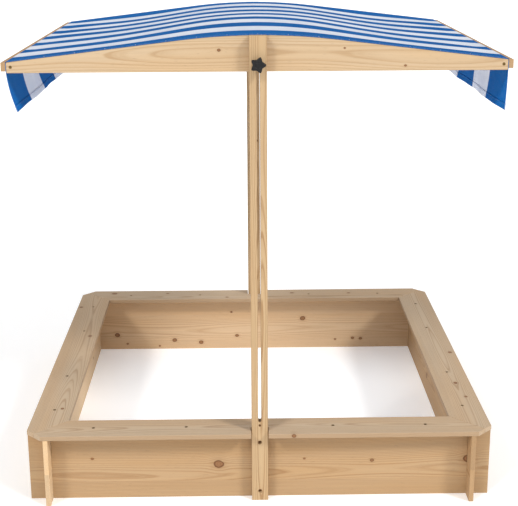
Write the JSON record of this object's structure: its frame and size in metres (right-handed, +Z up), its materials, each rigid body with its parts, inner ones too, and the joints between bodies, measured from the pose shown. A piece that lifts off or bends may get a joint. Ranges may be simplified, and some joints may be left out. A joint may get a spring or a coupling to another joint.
{
  "type": "sandbox with cover",
  "caption": "Square pine sandbox with mitred seats and a striped cloth roof that slides down slotted posts to cover it and is clamped by star knobs.",
  "frame": {"origin": "on the ground, under the centre of the square box", "axes": "+X to the right seen from the front post, +Y towards the rear post, +Z up"},
  "size_m": [1.214, 1.206, 1.2],
  "materials": {
    "wall_wood": "planed bare pine boards, warm, with small dark knots",
    "seat_wood": "planed bare pine boards, slightly paler and greyer, edges eased",
    "post_wood": "planed pine battens, strong upright grain",
    "gable_wood": "planed pale pine boards, fine level grain",
    "bar_wood": "sawn and planed pine bars",
    "striped_cloth": "plain-woven polyester with printed blue and white stripes",
    "staple_steel": "bright zinc-plated wire",
    "post_screw_steel": "dull zinc-plated, sunk in dark recesses",
    "yellow_zinc": "yellow-zinc screw heads, satin",
    "bolt_steel": "zinc-plated, satin",
    "knob_plastic": "black moulded plastic, fine texture",
    "insert_brass": "plain turned brass"
  },
  "bodies": {
    "box": {"front_wall": "wall_wood", "rear_wall": "wall_wood", "left_wall": "wall_wood", "right_wall": "wall_wood", "front_seat": "seat_wood", "rear_seat": "seat_wood", "left_seat": "seat_wood", "right_seat": "seat_wood", "front_post": "post_wood", "rear_post": "post_wood", "front_post_screws": "post_screw_steel", "rear_post_screws": "post_screw_steel", "front_seat_screws": "yellow_zinc", "rear_seat_screws": "yellow_zinc", "left_seat_screws": "yellow_zinc", "right_seat_screws": "yellow_zinc"},
    "roof": {"front_gable": "gable_wood", "rear_gable": "gable_wood", "ridge_bar": "bar_wood", "left_batten": "bar_wood", "right_batten": "bar_wood", "left_rail": "bar_wood", "right_rail": "bar_wood", "canopy": "striped_cloth", "left_valance": "striped_cloth", "right_valance": "striped_cloth", "cloth_staples": "staple_steel", "front_gable_screws": "yellow_zinc", "rear_gable_screws": "yellow_zinc", "left_rail_screws": "yellow_zinc", "right_rail_screws": "yellow_zinc", "front_bolt": "bolt_steel", "rear_bolt": "bolt_steel", "front_washer": "bolt_steel", "rear_washer": "bolt_steel"},
    "front_knob": {"front_knob": "knob_plastic", "front_insert": "insert_brass"},
    "rear_knob": {"rear_knob": "knob_plastic", "rear_insert": "insert_brass"}
  },
  "joints": [
    {"name": "roof_height", "type": "slide", "parent": "box", "child": "roof", "axis": [0, 0, 1], "range_m": [-0.908, 0], "deforming": ["left_valance", "right_valance"]},
    {"name": "front_knob_turn", "type": "hinge", "parent": "roof", "child": "front_knob", "pos_m": [0, -0.59, 1.132], "axis": [0, -1, 0], "continuous": true},
    {"name": "rear_knob_turn", "type": "hinge", "parent": "roof", "child": "rear_knob", "pos_m": [0, 0.59, 1.132], "axis": [0, 1, 0], "continuous": true}
  ]
}
